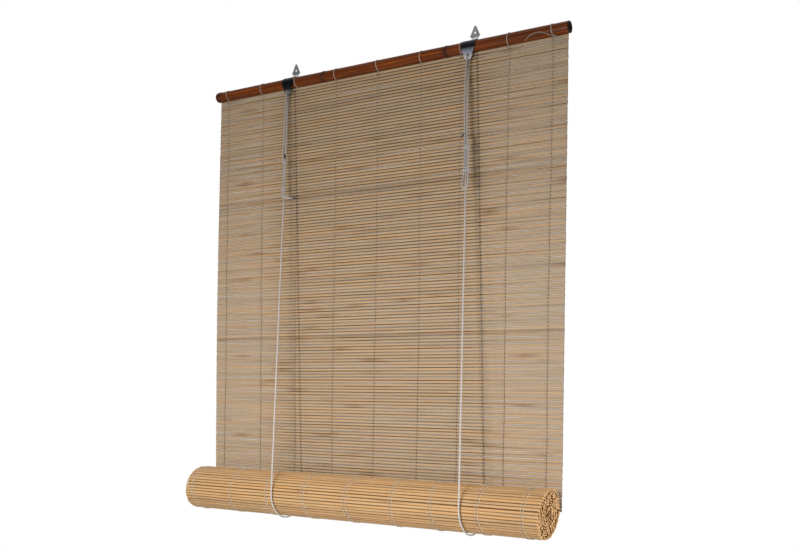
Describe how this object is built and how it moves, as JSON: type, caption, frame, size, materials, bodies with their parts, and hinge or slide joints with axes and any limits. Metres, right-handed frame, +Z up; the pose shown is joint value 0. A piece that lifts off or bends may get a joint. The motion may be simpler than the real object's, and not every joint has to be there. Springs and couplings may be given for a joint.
{
  "type": "bamboo roll-up blind",
  "caption": "Bamboo slat blind hung from a cane on two spring clips, its lower half wound into a roll that hangs in two cord slings and rises towards the cane.",
  "frame": {"origin": "on the wall face, midway between the screw holes of the two clips", "axes": "+X to the right seen from the room, -Y into the room, +Z up"},
  "size_m": [0.8, 0.1091, 0.9193],
  "materials": {
    "cane": "varnished reddish-brown bamboo",
    "slats": "bare split bamboo, dry and matt",
    "clips": "nickel-plated spring steel",
    "cord": "braided off-white cotton cord",
    "thread": "twisted cotton thread"
  },
  "bodies": {
    "headrail": {"head_cane": "cane", "hanging_slats": "slats", "clip_left": "clips", "clip_right": "clips", "cane_tie_1": "thread", "warp_threads_1": "thread", "cane_tie_2": "thread", "warp_threads_2": "thread", "cane_tie_3": "thread", "warp_threads_3": "thread", "cane_tie_4": "thread", "warp_threads_4": "thread", "cane_tie_5": "thread", "warp_threads_5": "thread", "cane_tie_6": "thread", "warp_threads_6": "thread", "cane_tie_7": "thread", "warp_threads_7": "thread", "cane_tie_8": "thread", "warp_threads_8": "thread", "cane_tie_9": "thread", "warp_threads_9": "thread", "cord_front_left": "cord", "cord_back_left": "cord", "cord_eye_turn_left": "cord", "cord_rear_end_left": "cord", "cord_tail_left": "cord", "tie_knot_upper_left": "cord", "tie_knot_lower_left": "cord", "cord_front_right": "cord", "cord_back_right": "cord", "cord_eye_turn_right": "cord", "cord_rear_end_right": "cord", "cord_tail_right": "cord", "tie_knot_upper_right": "cord", "tie_knot_lower_right": "cord"},
    "sling": {"cord_sling_left": "cord", "cord_sling_right": "cord"},
    "roll": {"mat_roll": "slats"}
  },
  "joints": [
    {"name": "roll_lift", "type": "slide", "parent": "headrail", "child": "sling", "axis": [0, 0, 1], "range_m": [0, 0.74], "deforming": ["hanging_slats", "warp_threads_1", "warp_threads_2", "warp_threads_3", "warp_threads_4", "warp_threads_5", "warp_threads_6", "warp_threads_7", "warp_threads_8", "warp_threads_9", "cord_front_left", "cord_back_left", "cord_tail_left", "tie_knot_upper_left", "tie_knot_lower_left", "cord_front_right", "cord_back_right", "cord_tail_right", "tie_knot_upper_right", "tie_knot_lower_right"]},
    {"name": "roll_spin", "type": "hinge", "parent": "sling", "child": "roll", "pos_m": [-0.003, -0.06085, -0.858], "axis": [1, 0, 0], "range_deg": [-850, 0]}
  ],
  "couplings": [
    {"joint": "roll_spin", "follows": "roll_lift", "rad_per_m": -20}
  ]
}
